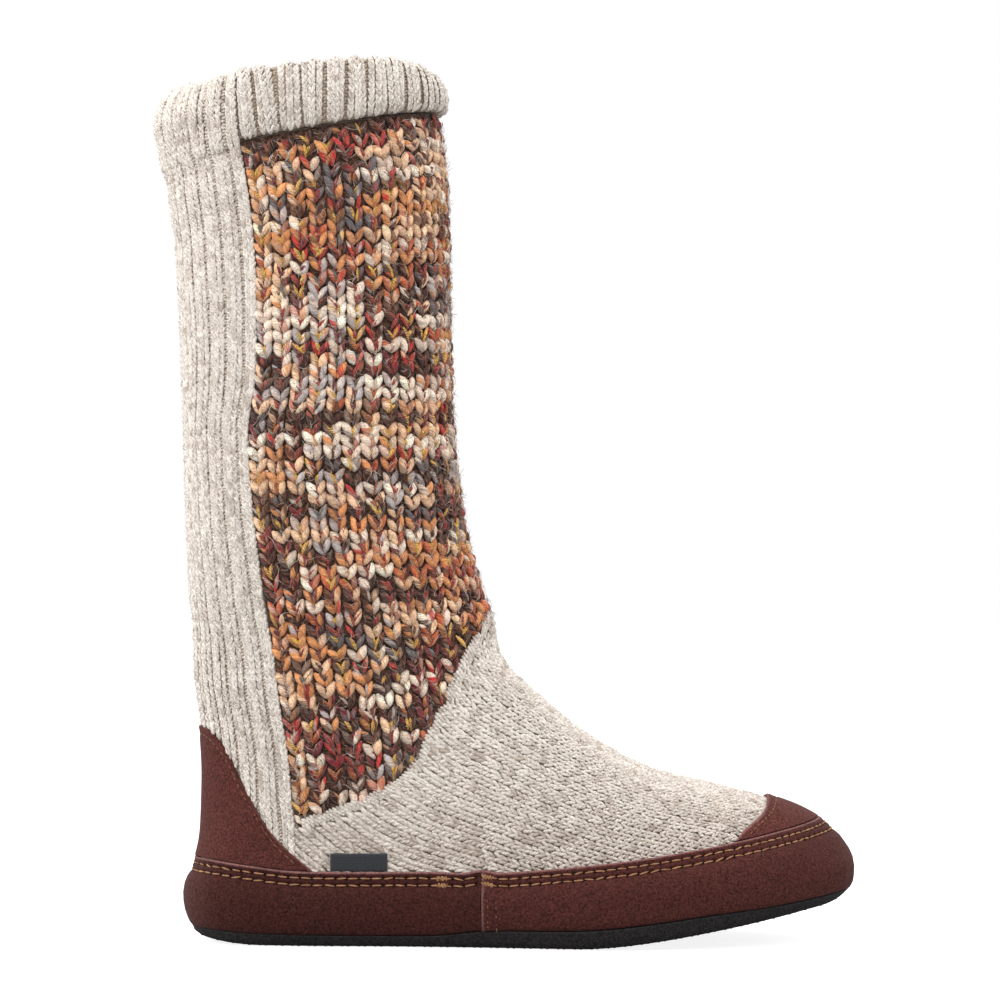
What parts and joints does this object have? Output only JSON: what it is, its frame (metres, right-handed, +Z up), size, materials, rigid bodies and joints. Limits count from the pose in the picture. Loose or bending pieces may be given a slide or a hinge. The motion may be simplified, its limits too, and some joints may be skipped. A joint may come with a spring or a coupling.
{
  "type": "slouch boot",
  "caption": "Knitted slouch slipper boot with a chunky multicolour shaft panel, ribbed cuff, suede foxing band, heel counter and toe cap on a thin rubber outsole.",
  "frame": {"origin": "bottom centre of the bounding box, on the floor under the middle of the boot", "axes": "+Z up the shaft, +X towards the toe, +Y towards the inner (medial) side of this right boot; the outer side faces -Y"},
  "size_m": [0.2674, 0.0948, 0.3336],
  "materials": {
    "oatmeal_knit": "matte oatmeal marl wool knit with brown and grey flecks",
    "chunky_knit": "chunky space-dyed wool knit in browns, cream, orange, grey-blue, red and yellow",
    "brown_suede": "reddish brown suede with a short nap",
    "sole_rubber": "matte black rubber",
    "footbed_fleece": "soft oatmeal fleece",
    "tan_thread": "tan sewing thread",
    "label_weave": "dark slate woven tape"
  },
  "bodies": {
    "root": {"outsole": "sole_rubber", "insole": "footbed_fleece", "upper": "oatmeal_knit", "shaft_panel": "chunky_knit", "cuff": "oatmeal_knit", "heel_counter": "brown_suede", "toe_cap": "brown_suede", "foxing_rear": "brown_suede", "foxing_front": "brown_suede", "label": "label_weave"}
  },
  "joints": []
}
